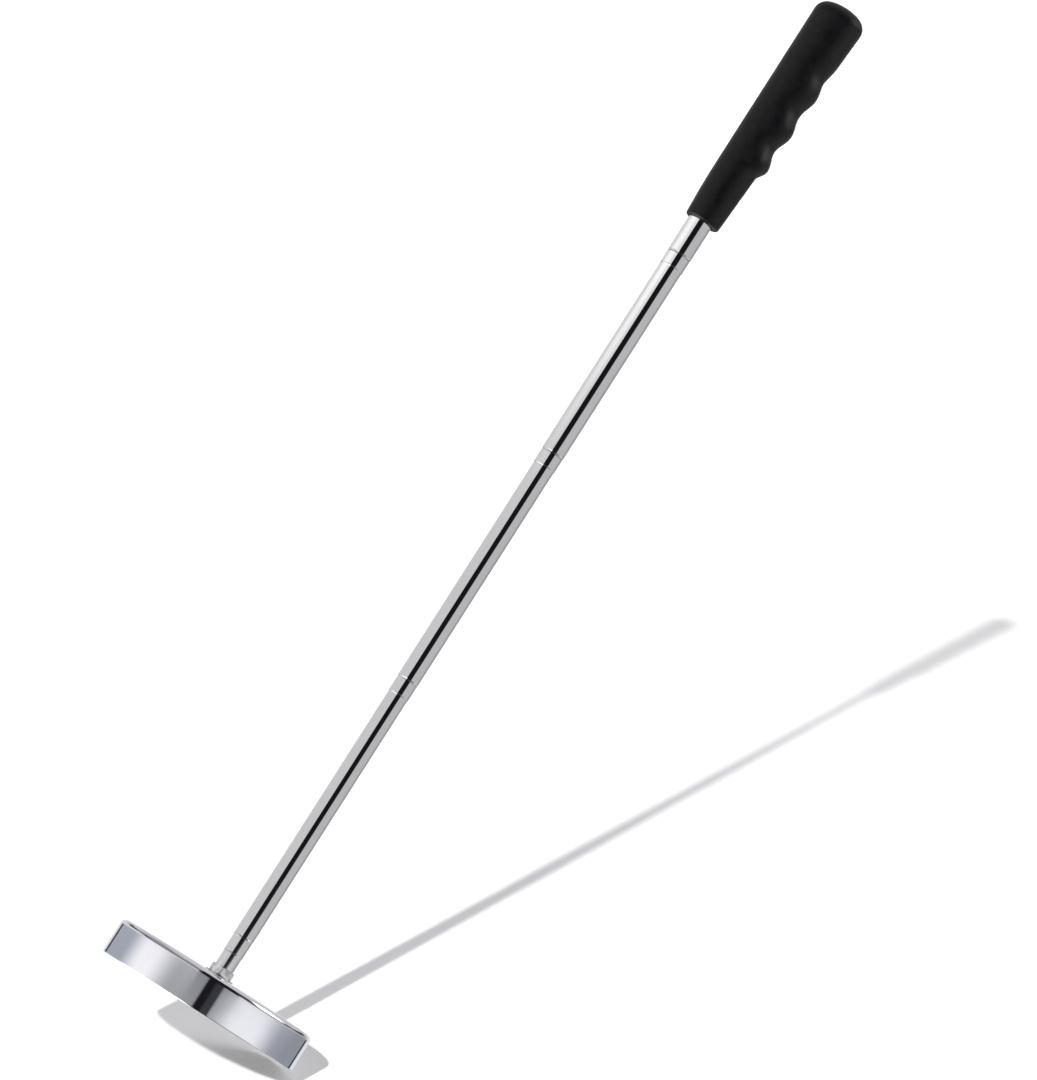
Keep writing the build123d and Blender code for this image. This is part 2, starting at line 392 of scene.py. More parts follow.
def make_cells(sheet: NodeSheet, entry: bpy.types.Node, leave: bpy.types.Node) -> None:
    """Small pits and swells of a moulded or cast skin, as a height and a shade."""
    pit_width = 0.75
    swells_to_a_cell = 0.16
    pit_share = 0.65
    place = sheet.add("TexCoord").outputs["Object"]
    cell = sheet.add("TexVoronoi", feature="SMOOTH_F1")
    sheet.feed(cell, Vector=place, Scale=entry.outputs["Cell Scale"])
    pits = sheet.ramp(cell.outputs["Distance"], 0.0, pit_width)
    swell_scale = sheet.math("MULTIPLY", entry.outputs["Cell Scale"], swells_to_a_cell)
    swell = sheet.noise(place, swell_scale, 4.0)
    sheet.join(sheet.blend(pits, swell, pit_share), leave.inputs["Height"])
    sheet.join(swell, leave.inputs["Shade"])


STREAKS = EffectGroup("Drawn Lines", (("Across", 900.0), ("Along", 20.0)), ("Lines",), make_streaks)
HANDLING = EffectGroup("Handling Smears", (("Patch Scale", 30.0),), ("Smears",), make_handling)
EDGE_WEAR = EffectGroup("Edge Wear", (("Break Scale", 400.0),), ("Worn",), make_edge_wear)
CELLS = EffectGroup("Moulded Cells", (("Cell Scale", 1500.0),), ("Height", "Shade"), make_cells)


def rgba(colour: Colour) -> tuple[float, float, float, float]:
    """The colour with a full alpha."""
    return (*colour, 1.0)


@dataclass(frozen=True)
class MetalFinish:
    """A bare or plated metal: its colour, gloss, fine lines, smears and worn edges."""

    name: str
    colour: Colour
    dull_colour: Colour
    worn_colour: Colour
    roughness: float
    roughness_spread: float
    line_height: float
    grain: Grain = Grain.ALONG_ROD
    line_scale: float = 900.0
    patch_scale: float = 30.0
    drawn_stretch: float = 0.02
    turned_stretch: float = 0.05

    def line_steps(self) -> tuple[float, float]:
        """Line frequencies across and along the rod's axis, in cycles a metre."""
        if self.grain is Grain.ALONG_ROD:
            return self.line_scale, self.line_scale * self.drawn_stretch
        if self.grain is Grain.ROUND_ROD:
            return self.line_scale * self.turned_stretch, self.line_scale
        return self.line_scale, self.line_scale

    def material(self) -> bpy.types.Material:
        """Builds the finish as a node material."""
        made = bpy.data.materials.new(self.name)
        made.use_nodes = True
        sheet = NodeSheet(made.node_tree)
        shader = made.node_tree.nodes["Principled BSDF"]
        across, along = self.line_steps()
        lines = STREAKS.place(sheet, Across=across, Along=along).outputs["Lines"]
        smears = HANDLING.place(sheet, Patch_Scale=self.patch_scale).outputs["Smears"]
        worn = EDGE_WEAR.place(sheet).outputs["Worn"]
        plain = sheet.mix(smears, rgba(self.colour), rgba(self.dull_colour))
        base = sheet.mix(worn, plain, rgba(self.worn_colour))
        spread = sheet.math("MULTIPLY", sheet.math("ADD", smears, lines), self.roughness_spread)
        gloss = sheet.math("ADD", spread, self.roughness)
        bump = sheet.add("Bump")
        sheet.feed(bump, Height=lines, Distance=self.line_height * MM, Strength=1.0)
        sheet.feed(shader, Base_Color=base, Roughness=gloss, Normal=bump.outputs[0], Metallic=1.0)
        return made


@dataclass(frozen=True)
class SkinFinish:
    """A non-metal with a grained skin: soft grip, resin, plastic or ferrite."""

    name: str
    colour: Colour
    pale_colour: Colour
    worn_colour: Colour
    roughness: float
    roughness_spread: float
    cell_scale: float
    cell_height: float
    specular: float = 0.5
    patch_scale: float = 25.0
    shade_limits: tuple[float, float] = (0.3, 0.75)
    dust: float = 0.5

    def material(self) -> bpy.types.Material:
        """Builds the finish as a node material."""
        made = bpy.data.materials.new(self.name)
        made.use_nodes = True
        sheet = NodeSheet(made.node_tree)
        shader = made.node_tree.nodes["Principled BSDF"]
        cells = CELLS.place(sheet, Cell_Scale=self.cell_scale)
        smears = HANDLING.place(sheet, Patch_Scale=self.patch_scale).outputs["Smears"]
        worn = EDGE_WEAR.place(sheet).outputs["Worn"]
        shade = sheet.ramp(cells.outputs["Shade"], *self.shade_limits)
        grained = sheet.mix(shade, rgba(self.colour), rgba(self.pale_colour))
        dusty = sheet.mix(sheet.math("MULTIPLY", smears, self.dust), grained, rgba(self.pale_colour))
        base = sheet.mix(worn, dusty, rgba(self.worn_colour))
        spread = sheet.math("MULTIPLY", sheet.math("SUBTRACT", shade, smears), self.roughness_spread)
        bump = sheet.add("Bump")
        sheet.feed(bump, Height=cells.outputs["Height"], Distance=self.cell_height * MM, Strength=1.0)
        sheet.feed(
            shader,
            Base_Color=base,
            Roughness=sheet.math("ADD", spread, self.roughness),
            Normal=bump.outputs[0],
            Specular_IOR_Level=self.specular,
        )
        return made


PLATED_CUP = MetalFinish(
    name="plated_cup_chrome",
    colour=(0.84, 0.84, 0.87),
    dull_colour=(0.78, 0.78, 0.82),
    worn_colour=(0.90, 0.90, 0.92),
    roughness=0.03,
    roughness_spread=0.025,
    line_height=0.011,
    line_scale=1500.0,
)
TUBE_STEEL = MetalFinish(
    name="polished_tube_steel",
    colour=(0.76, 0.76, 0.765),
    dull_colour=(0.70, 0.70, 0.705),
    worn_colour=(0.84, 0.84, 0.84),
    roughness=0.025,
    roughness_spread=0.03,
    line_height=0.0012,
    line_scale=2600.0,
)
NUT_STEEL = MetalFinish(
    name="zinc_plated_steel",
    colour=(0.62, 0.61, 0.61),
    dull_colour=(0.30, 0.29, 0.30),
    worn_colour=(0.80, 0.80, 0.80),
    roughness=0.13,
    roughness_spread=0.14,
    line_height=0.06,
    grain=Grain.EVEN,
    line_scale=1300.0,
    patch_scale=260.0,
)
POLE_STEEL = MetalFinish(
    name="turned_pole_steel",
    colour=(0.46, 0.46, 0.47),
    dull_colour=(0.36, 0.35, 0.35),
    worn_colour=(0.60, 0.60, 0.60),
    roughness=0.28,
    roughness_spread=0.2,
    line_height=0.003,
    grain=Grain.EVEN,
    line_scale=700.0,
    patch_scale=90.0,
)
BUSH_BRASS = MetalFinish(
    name="turned_bush_brass",
    colour=(0.72, 0.53, 0.24),
    dull_colour=(0.58, 0.41, 0.19),
    worn_colour=(0.84, 0.66, 0.34),
    roughness=0.22,
    roughness_spread=0.15,
    line_height=0.002,
    grain=Grain.ROUND_ROD,
    line_scale=1800.0,
    patch_scale=120.0,
)
CLIP_BRONZE = MetalFinish(
    name="spring_clip_bronze",
    colour=(0.64, 0.42, 0.24),
    dull_colour=(0.52, 0.33, 0.20),
    worn_colour=(0.78, 0.55, 0.34),
    roughness=0.26,
    roughness_spread=0.14,
    line_height=0.001,
    line_scale=1800.0,
    patch_scale=120.0,
)
FERRITE = SkinFinish(
    name="ground_ferrite",
    colour=(0.030, 0.030, 0.034),
    pale_colour=(0.062, 0.062, 0.066),
    worn_colour=(0.11, 0.11, 0.115),
    roughness=0.52,
    roughness_spread=0.16,
    cell_scale=1600.0,
    cell_height=0.012,
    specular=0.6,
)
RESIN = SkinFinish(
    name="potting_resin",
    colour=(0.016, 0.016, 0.018),
    pale_colour=(0.030, 0.030, 0.032),
    worn_colour=(0.040, 0.040, 0.042),
    roughness=0.30,
    roughness_spread=0.12,
    cell_scale=420.0,
    cell_height=0.03,
)
PLUG_PLASTIC = SkinFinish(
    name="moulded_plug_plastic",
    colour=(0.020, 0.020, 0.021),
    pale_colour=(0.036, 0.036, 0.037),
    worn_colour=(0.06, 0.06, 0.06),
    roughness=0.45,
    roughness_spread=0.1,
    cell_scale=1900.0,
    cell_height=0.006,
)
GRIP_RUBBER = SkinFinish(
    name="soft_grip_rubber",
    colour=(0.0013, 0.0013, 0.0016),
    pale_colour=(0.0030, 0.0030, 0.0036),
    worn_colour=(0.006, 0.006, 0.007),
    roughness=0.42,
    roughness_spread=0.10,
    cell_scale=1400.0,
    cell_height=0.09,
    specular=0.3,
)


class FinishShelf:
    """Makes each finish's material once and hands it out."""

    def __init__(self) -> None:
        """Starts with no materials made."""
        self.made: dict[str, bpy.types.Material] = {}

    def dress(self, piece: bpy.types.Object, finish: MetalFinish | SkinFinish) -> None:
        """Gives a piece, new or carried over, one finish on every slot."""
        if finish.name not in self.made:
            self.made[finish.name] = finish.material()
        material = self.made[finish.name]
        if not piece.material_slots:
            piece.data.materials.append(material)
        for slot in piece.material_slots:
            slot.link = "OBJECT"
            slot.material = material


# ---------------------------------------------------------------------------------------------
# The object
# ---------------------------------------------------------------------------------------------


@dataclass
class MagnetHead:
    """The cup with its magnet, pole and resin, and the nut and washer on top. Sizes in metres."""

    shelf: FinishShelf
    wall: float = 1.4 * MM
    top_corner: float = 3.0 * MM
    edge_height: float = 20.9 * MM
    rim_round: float = 0.35 * MM
    rim_steps: int = 5
    corner_steps: int = 12
    crown_steps: int = 26
    stud_radius: float = 4.0 * MM
    segments: int = 288
    nut_flats: float = 13.0 * MM
    nut_turn: float = -6.4
    nut_edge_round: float = 0.5 * MM
    nut_chamfer: float = 0.9 * MM
    nut_chamfer_height: float = 0.45 * MM
    nut_corner_steps: int = 4
    nut_flat_steps: int = 8
    nut_mouth: float = 0.35 * MM
    nut_mouth_depth: float = 0.4 * MM
    washer_round: float = 0.18 * MM
    washer_dish: float = 0.02 * MM
    washer_segments: int = 96

    def crown(self, radius: float, edge: float, top: float, at: float) -> float:
        """Height of a gently crowned top at a distance from the axis."""
        return edge + (top - edge) * (1.0 - (at / radius) ** 2)

    def crowned_side(self, radius: float, edge: float, top: float, corner: float) -> list[Point2]:
        """Outline from the bottom of a crowned drum's wall, round its corner, in to the stud hole."""
        slope = math.degrees(math.atan(2 * (top - edge) / radius))
        centre = (radius - corner, self.crown(radius, edge, top, radius - corner) - corner)
        side = arc(centre, corner, 0.0, 90.0 - slope, self.corner_steps)
        start = side[-1][0]
        for index in range(1, self.crown_steps + 1):
            at = start + (self.stud_radius - start) * index / self.crown_steps
            side.append((at, self.crown(radius, edge, top, at)))
        return side

    def cup(self) -> bpy.types.Object:
        """The plated cup, with its rolled corner, crowned top and rounded rim."""
        low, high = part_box("magnet_cup")
        radius = high.x
        outside = self.crowned_side(radius, self.edge_height, high.z, self.top_corner)
        inside = self.crowned_side(
            radius - self.wall,
            self.edge_height - self.wall,
            high.z - self.wall,
            self.top_corner - self.wall,
        )
        rim = self.rim_round
        foot_in = arc((radius - self.wall + rim, low.z + rim), rim, 180.0, 270.0, self.rim_steps)
        foot_out = arc((radius - rim, low.z + rim), rim, 270.0, 360.0, self.rim_steps)
        outline = foot_in + foot_out + outside + list(reversed(inside))
        piece = lathe("drawn_cup", outline, self.segments)
        return self.settle(piece, "magnet_cup", PLATED_CUP)

    def nut_outline(self) -> list[Vector]:
        """The nut's hexagon with slightly rounded corners, as seen from above."""
        reach = self.nut_flats / math.sqrt(3)
        corners = []
        for index in range(6):
            angle = math.radians(self.nut_turn - 90 + 60 * index)
            corners.append((reach * math.cos(angle), reach * math.sin(angle)))
        points = []
        smooth = rounded(corners, [self.nut_edge_round] * 6, self.nut_corner_steps)
        for index, here in enumerate(smooth):
            after = smooth[(index + 1) % len(smooth)]
            span = (Vector(after) - Vector(here)).length
            steps = self.nut_flat_steps if span > self.nut_flats / 4 else 1
            for step in range(steps):
                points.append(Vector(here).lerp(Vector(after), step / steps))
        return points

    def nut(self) -> bpy.types.Object:
        """The thin nut, whose faces are turned down to a cone at the corners."""
        low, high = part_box("jam_nut")
        outline = self.nut_outline()
        flat_radius = self.nut_flats / math.sqrt(3) - self.nut_chamfer
        fall = self.nut_chamfer_height / self.nut_chamfer

        def loop(inset: float, top: bool) -> list[Vector]:
            """A ring of the chamfered face: at the given inset, 0 being the hexagon itself."""
            ring = []
            for spot in outline:
                far = spot.length
                reach = far + (min(far, flat_radius) - far) * inset
                drop = max(0.0, reach - flat_radius) * fall
                height = high.z - drop if top else low.z + drop
                ring.append((spot * (reach / far)).to_3d() + Vector((0, 0, height)))
            return ring

        def bore(height: float, radius: float) -> list[Vector]:
            """A ring of the nut's hole."""
            return [(spot.normalized() * radius).to_3d() + Vector((0, 0, height)) for spot in outline]

        mouth = self.stud_radius + self.nut_mouth
        sections = [
            bore(low.z + self.nut_mouth_depth, self.stud_radius),
            bore(low.z, mouth),
            loop(1.0, False),
            loop(0.5, False),
            loop(0.0, False),
            loop(0.0, True),
            loop(0.5, True),
            loop(1.0, True),
            bore(high.z, mouth),
            bore(high.z - self.nut_mouth_depth, self.stud_radius),
        ]
        piece = stack("thin_nut", sections, closed=True)
        return self.settle(piece, "jam_nut", NUT_STEEL)

    def washer(self) -> bpy.types.Object:
        """The plain washer, with its punched edge rounded."""
        low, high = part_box("flat_washer")
        corners = [
            (self.stud_radius, low.z + self.washer_dish),
            (high.x, low.z),
            (high.x, high.z),
            (self.stud_radius, high.z),
        ]
        radii = [0.0, self.washer_round / 2, self.washer_round, self.washer_round / 2]
        piece = lathe("plain_washer", rounded(corners, radii), self.washer_segments)
        return self.settle(piece, "flat_washer", NUT_STEEL)

    def settle(
        self, piece: bpy.types.Object, node: str, finish: MetalFinish
    ) -> bpy.types.Object:
        """Lets a piece ride on the head in place of its CAD node, in its finish."""
        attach(piece, "head")
        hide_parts(node)
        self.shelf.dress(piece, finish)
        LOG.info("%s stands for %s", piece.name, node)
        return piece

    def build(self) -> None:
        """Makes the head's pieces and dresses the ones carried over."""
        self.cup()
        self.nut()
        self.washer()
        kept = {
            "ring_magnet": FERRITE,
            "centre_pole": POLE_STEEL,
            "potting_resin": RESIN,
            "stem_stud": NUT_STEEL,
        }
        for node, finish in kept.items():
            self.shelf.dress(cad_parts[node], finish)
            LOG.info("%s keeps its shape", node)


@dataclass
class TelescopicRod:
    """Five nested tubes, each with a rolled ring and necked end, and the parts that join them."""

    shelf: FinishShelf
    wall: float = 0.2 * MM
    neck_step: float = 0.16 * MM
    ring_heights: tuple[float, ...] = (9.9 * MM, 9.3 * MM, 8.5 * MM, 8.3 * MM)
    ring_depth: float = 0.20 * MM
    ring_radius: float = 1.8 * MM
    end_round: float = 0.09 * MM
    roll_depth: float = 0.16 * MM
    roll_height: float = 0.7 * MM
    roll_steps: int = 8
    groove_steps: int = 12
    throat_top: float = 0.85 * MM
    throat_foot: float = 0.6 * MM
    segments: int = 160
    bodies: tuple[str, ...] = ("head", "section_2", "section_3", "section_4", "handle")

    def plain_outline(self, radius: float, low: float, high: float) -> list[Point2]:
        """Outline of the innermost tube's wall."""
        inner = radius - self.wall
        corners = [(inner, low), (radius, low), (radius, high), (inner, high)]
        return rounded(corners, [self.end_round] * 4, 3)

    def necked_outline(self, radius: float, low: float, high: float, ring: float) -> list[Point2]:
        """Outline of a tube's wall with the rolled ring and the neck below it."""
        neck = radius - self.neck_step
        inner = radius - self.wall
        neck_inner = neck - self.wall
        at = low + ring
        hub = (radius - self.ring_depth + self.ring_radius, at)
        below = math.degrees(math.acos((hub[0] - neck) / self.ring_radius))
        above = math.degrees(math.acos((hub[0] - radius) / self.ring_radius))
        groove = arc(hub, self.ring_radius, 180.0 + below, 180.0 - above, self.groove_steps)
        foot = [(neck_inner, low)]
        for index in range(self.roll_steps + 1):
            turn = math.radians(90.0 - 90.0 * index / self.roll_steps)
            out = neck - self.roll_depth * (1.0 - math.cos(turn))
            foot.append((out, low + self.roll_height * (1.0 - math.sin(turn))))
        top = [(radius, high), (inner, high)]
        throat = [(inner, at + self.throat_top), (neck_inner, at + self.throat_foot)]
        return foot + groove + top + throat

    def tube(self, number: int) -> bpy.types.Object:
        """One tube, counted from the innermost."""
        node = f"tube_{number}"
        low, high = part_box(node)
        if number == 1:
            outline = self.plain_outline(high.x, low.z, high.z)
        else:
            outline = self.necked_outline(high.x, low.z, high.z, self.ring_heights[number - 2])
        piece = lathe(f"rod_{node}", outline, self.segments)
        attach(piece, self.bodies[number - 1])
        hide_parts(node)
        self.shelf.dress(piece, TUBE_STEEL)
        LOG.info("%s stands for %s", piece.name, node)
        return piece

    def build(self) -> None:
        """Makes the tubes and dresses the bushes and clips inside them."""
        for number in range(1, len(self.bodies) + 1):
            self.tube(number)
        for number in range(1, len(self.bodies)):
            self.shelf.dress(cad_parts[f"stop_bush_{number}"], BUSH_BRASS)
            self.shelf.dress(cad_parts[f"friction_clip_{number}"], CLIP_BRONZE)
            LOG.info("stop_bush_%d and friction_clip_%d keep their shapes", number, number)


@dataclass
class FingerGrip:
    """The soft grip: straight on the palm side, with three finger ridges on the other."""

    shelf: FinishShelf
    palm_side: float = 10.6 * MM
    palm_side_bottom: float = 9.5 * MM
    palm_bend: float = 112.0 * MM
    finger_side_top: float = 18.7 * MM
    finger_side_bottom: float = 11.0 * MM
    ridge_depths: tuple[float, ...] = (52.9 * MM, 77.7 * MM, 101.1 * MM)
    ridge_proud: tuple[float, ...] = (2.2 * MM, 2.7 * MM, 3.1 * MM)
    ridge_reach: float = 12.0 * MM
    last_ridge_fall: float = 7.6 * MM
    swell_proud: float = 1.4 * MM
    swell_ends: tuple[float, float] = (30.0 * MM, 44.5 * MM)
    top_corner: float = 7.2 * MM
    dome_rise: float = 1.5 * MM
    bottom_corner: float = 1.2 * MM
    bottom_steps: int = 8
    shoulder_turn: float = 78.0
    shoulder_steps: int = 14
    dome_rings: int = 9
    last_dome_step: float = 0.6
    side_from: float = -0.25
    side_full: float = 0.9
    mouth_flare: float = 0.5 * MM
    mouth_depth: float = 0.6 * MM
    ceiling_share: float = 0.4
    ring_step: float = 0.7 * MM
    segments: int = 192
    span: tuple[float, float] = field(init=False)

    def __post_init__(self) -> None:
        """Takes the grip's lower and upper heights from the frame."""
        low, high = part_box("grip")
        self.span = (low.z, high.z)

    def ridges(self, depth: float) -> float:
        """How far the finger side stands out of the plain taper at a depth below the top."""
        start, end = self.swell_ends
        out = self.swell_proud * (1.0 - eased((depth - start) / (end - start)))
        for index, (middle, proud) in enumerate(zip(self.ridge_depths, self.ridge_proud)):
            last = index == len(self.ridge_depths) - 1
            reach = self.last_ridge_fall if last and depth > middle else self.ridge_reach
            offset = (depth - middle) / reach
            if abs(offset) < 1.0:
                out += proud * math.cos(offset * math.pi / 2) ** 2
        return out

    def section(self, depth: float) -> tuple[float, float]:
        """Centre and radius of the plain round section at a depth below the top."""
        length = self.span[1] - self.span[0]
        finger = self.finger_side_top + (self.finger_side_bottom - self.finger_side_top) * depth / length
        past = max(0.0, depth - self.palm_bend) / (length - self.palm_bend)
        palm = self.palm_side + (self.palm_side_bottom - self.palm_side) * past * past
        return (finger - palm) / 2, (finger + palm) / 2

    def ring(self, depth: float, inset: float, height: float) -> list[Vector]:
        """A ring of the outer skin, drawn in by an inset at the rounded ends."""
        centre, radius = self.section(depth)
        out = self.ridges(depth)
        points = []
        for index in range(self.segments):
            angle = 2 * math.pi * index / self.segments
            towards = eased((math.cos(angle) - self.side_from) / (self.side_full - self.side_from))
            reach = (radius + out * towards) * (1.0 - inset / radius)
            points.append(Vector((centre + reach * math.cos(angle), reach * math.sin(angle), height)))
        return points

    def bore(self, radius: float, height: float) -> list[Vector]:
        """A ring of the pocket that takes the tube."""
        points = []
        for index in range(self.segments):
            angle = 2 * math.pi * index / self.segments
            points.append(Vector((radius * math.cos(angle), radius * math.sin(angle), height)))
        return points

    def crown(self, stop: float, high: float) -> list[list[Vector]]:
        """The rings of the rounded top.

        Args:
            stop: Height where the side ends and the rounding starts.
            high: Height of the top.

        Returns:
            The shoulder's rings, then the low dome's, up to a small flat cap.
        """
        rings = []
        middle = (-self.top_corner, stop)
        shoulder = arc(middle, self.top_corner, 0.0, self.shoulder_turn, self.shoulder_steps)
        for x, height in shoulder[1:]:
            rings.append(self.ring(high - stop, -x, height))
        edge_inset, edge_height = -shoulder[-1][0], shoulder[-1][1]
        radius = self.section(high - stop)[1]
        for index in range(1, self.dome_rings + 1):
            share = index / (self.dome_rings + self.last_dome_step)
            inset = edge_inset + (radius - edge_inset) * share
            height = edge_height + (high - edge_height) * (1.0 - (1.0 - share) ** 2)
            rings.append(self.ring(high - stop, inset, height))
        return rings

    def build(self) -> None:
        """Makes the grip as one closed skin, from the pocket's ceiling out and over the top."""
        low, high = self.span
        tube_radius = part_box("tube_5")[1].x
        pocket_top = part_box("end_plug")[1].z
        sections = [
            self.bore(tube_radius * self.ceiling_share, pocket_top),
            self.bore(tube_radius, pocket_top),
            self.bore(tube_radius, low + self.mouth_depth),
            self.bore(tube_radius + self.mouth_flare, low),
        ]
        length = high - low
        corner = self.bottom_corner
        for x, z in arc((-corner, corner), corner, -90.0, 0.0, self.bottom_steps):
            sections.append(self.ring(length - z, -x, low + z))
        count = int((length - corner - self.top_corner - self.dome_rise) / self.ring_step)
        start, stop = low + corner, high - self.top_corner - self.dome_rise
        for index in range(1, count + 1):
            height = start + (stop - start) * index / count
            sections.append(self.ring(high - height, 0.0, height))
        sections += self.crown(stop, high)
        piece = stack("soft_grip", sections, closed=False)
        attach(piece, "handle")
        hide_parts("grip")
        self.shelf.dress(piece, GRIP_RUBBER)
        LOG.info("%s stands for grip", piece.name)
        self.shelf.dress(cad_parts["end_plug"], PLUG_PLASTIC)
        LOG.info("end_plug keeps its shape")


# ---------------------------------------------------------------------------------------------
# Studio
# ---------------------------------------------------------------------------------------------


@dataclass
class Viewpoint:
    """The camera: level with the cup, far enough back for a long lens, and rolled."""

    distance: float = 2.5
    height: float = 0.004
    target: tuple[float, float, float] = (0.00967, 0.0, 0.30763)
    roll: float = 32.52
    lens: float = 154.3
    furthest: float = 50.0

    def axes(self) -> tuple[Vector, Vector, Vector]:
        """The picture's right, up and towards-the-camera directions."""
        back = (Vector((0.0, -self.distance, self.height)) - Vector(self.target)).normalized()
        right = Vector((0.0, 0.0, 1.0)).cross(back).normalized()
        up = back.cross(right)
        turn = Matrix.Rotation(math.radians(self.roll), 3, back)
        return turn @ right, turn @ up, back

    def build(self) -> None:
        """Makes the camera and sets it as the scene's."""
        right, up, back = self.axes()
        data = bpy.data.cameras.new("studio_camera")
        data.lens = self.lens
        data.clip_end = self.furthest
        camera = bpy.data.objects.new("studio_camera", data)
        turn = Matrix((right, up, back)).transposed().to_4x4()
        camera.matrix_world = Matrix.Translation((0.0, -self.distance, self.height)) @ turn
        bpy.context.scene.collection.objects.link(camera)
        bpy.context.scene.camera = camera
        LOG.info("camera placed")


@dataclass(frozen=True)
class Card:
    """A card that starts at an angle round the rod, in degrees, 0 at the camera and + to its right."""

    start: float
    shade: Colour
    softness: float = 4.0


@dataclass(frozen=True)
class Tier:
    """A ring of cards that starts at a height above the horizon, in degrees."""

    start: float
    softness: float
    cards: tuple[Card, ...]


# What the bright metal mirrors, from the ground up. The cup's wall sees CUP_CARDS, the tubes see
# ROD_CARDS and ROD_TOP_CARDS, and the roundings and rolled rings see the rest as fine lines.
UNDER_CARDS = (
    Card(-180.0, (0.45, 0.45, 0.46)),
    Card(-130.0, (4.2, 4.2, 4.2), 20.0),
    Card(-20.0, (0.02, 0.02, 0.02), 6.0),
    Card(28.0, (0.16, 0.16, 0.17), 6.0),
    Card(120.0, (0.70, 0.70, 0.72), 60.0),
)
LOW_CARDS = (
    Card(-180.0, (0.52, 0.52, 0.54)),
    Card(-120.0, (0.84, 0.84, 0.86), 50.0),
    Card(-62.0, (0.50, 0.50, 0.52), 40.0),
    Card(-20.0, (0.02, 0.02, 0.02), 6.0),
    Card(28.0, (0.22, 0.22, 0.23), 6.0),
    Card(70.0, (0.74, 0.74, 0.76), 50.0),
    Card(130.0, (0.40, 0.40, 0.42), 50.0),
)
CUP_CARDS = (
    Card(-180.0, (0.70, 0.72, 0.78)),
    Card(-156.5, (0.02, 0.02, 0.03), 3.0),
    Card(-149.5, (0.40, 0.425, 0.485), 5.0),
    Card(-99.0, (1.07, 1.07, 1.09), 34.0),
    Card(-55.0, (0.405, 0.415, 0.44), 34.0),
    Card(-22.0, (0.34, 0.345, 0.36), 20.0),
    Card(-7.0, (0.012, 0.012, 0.014), 3.0),
    Card(2.0, (0.05, 0.05, 0.06), 4.0),
    Card(11.0, (0.42, 0.425, 0.44), 3.0),
    Card(26.0, (0.98, 0.98, 1.01), 34.0),
    Card(81.0, (0.37, 0.385, 0.43), 36.0),
    Card(108.0, (0.305, 0.325, 0.365), 30.0),
    Card(145.5, (0.02, 0.02, 0.03), 3.0),
    Card(151.5, (0.80, 0.81, 0.84), 4.0),
)
ROD_CARDS = (
    Card(-180.0, (0.72, 0.72, 0.75)),
    Card(-155.0, (0.74, 0.74, 0.75), 30.0),
    Card(-20.0, (0.010, 0.010, 0.011), 4.0),
    Card(29.0, (0.60, 0.60, 0.61), 6.0),
    Card(110.0, (0.40, 0.40, 0.41), 24.0),
    Card(150.0, (0.80, 0.80, 0.81), 20.0),
)
ROD_TOP_CARDS = (
    Card(-180.0, (0.72, 0.72, 0.75)),
    Card(-145.0, (0.84, 0.84, 0.85), 30.0),
    Card(-100.0, (1.25, 1.25, 1.25), 40.0),
    Card(-45.0, (0.95, 0.95, 0.96), 30.0),
    Card(-20.0, (0.010, 0.010, 0.011), 4.0),
    Card(29.0, (0.60, 0.60, 0.61), 6.0),
    Card(110.0, (0.40, 0.40, 0.41), 24.0),
    Card(150.0, (0.80, 0.80, 0.81), 20.0),
)
LINTEL_CARDS = (
    Card(-180.0, (0.66, 0.66, 0.70)),
    Card(-148.0, (0.05, 0.05, 0.06), 10.0),
    Card(-20.0, (0.01, 0.01, 0.01), 6.0),
    Card(28.0, (0.05, 0.05, 0.06), 6.0),
    Card(147.0, (0.66, 0.66, 0.70), 10.0),
)
HIGH_CARDS = (
    Card(-180.0, (0.64, 0.64, 0.67)),
    Card(-120.0, (0.34, 0.34, 0.35), 40.0),
    Card(-20.0, (0.02, 0.02, 0.02), 6.0),
    Card(28.0, (0.08, 0.08, 0.08), 6.0),
    Card(58.0, (3.2, 3.2, 3.2), 14.0),
    Card(96.0, (0.64, 0.64, 0.67), 14.0),
)
TOP_CARDS = (Card(-180.0, (0.64, 0.64, 0.66)),)
TIERS = (
    Tier(-90.0, 0.0, UNDER_CARDS),
    Tier(-31.0, 4.0, LOW_CARDS),
    Tier(-3.0, 2.0, CUP_CARDS),
    Tier(0.47, 0.1, ROD_CARDS),
    Tier(9.0, 4.0, ROD_TOP_CARDS),
    Tier(14.0, 2.0, LINTEL_CARDS),
    Tier(25.0, 4.0, HIGH_CARDS),
    Tier(55.0, 8.0, TOP_CARDS),
)


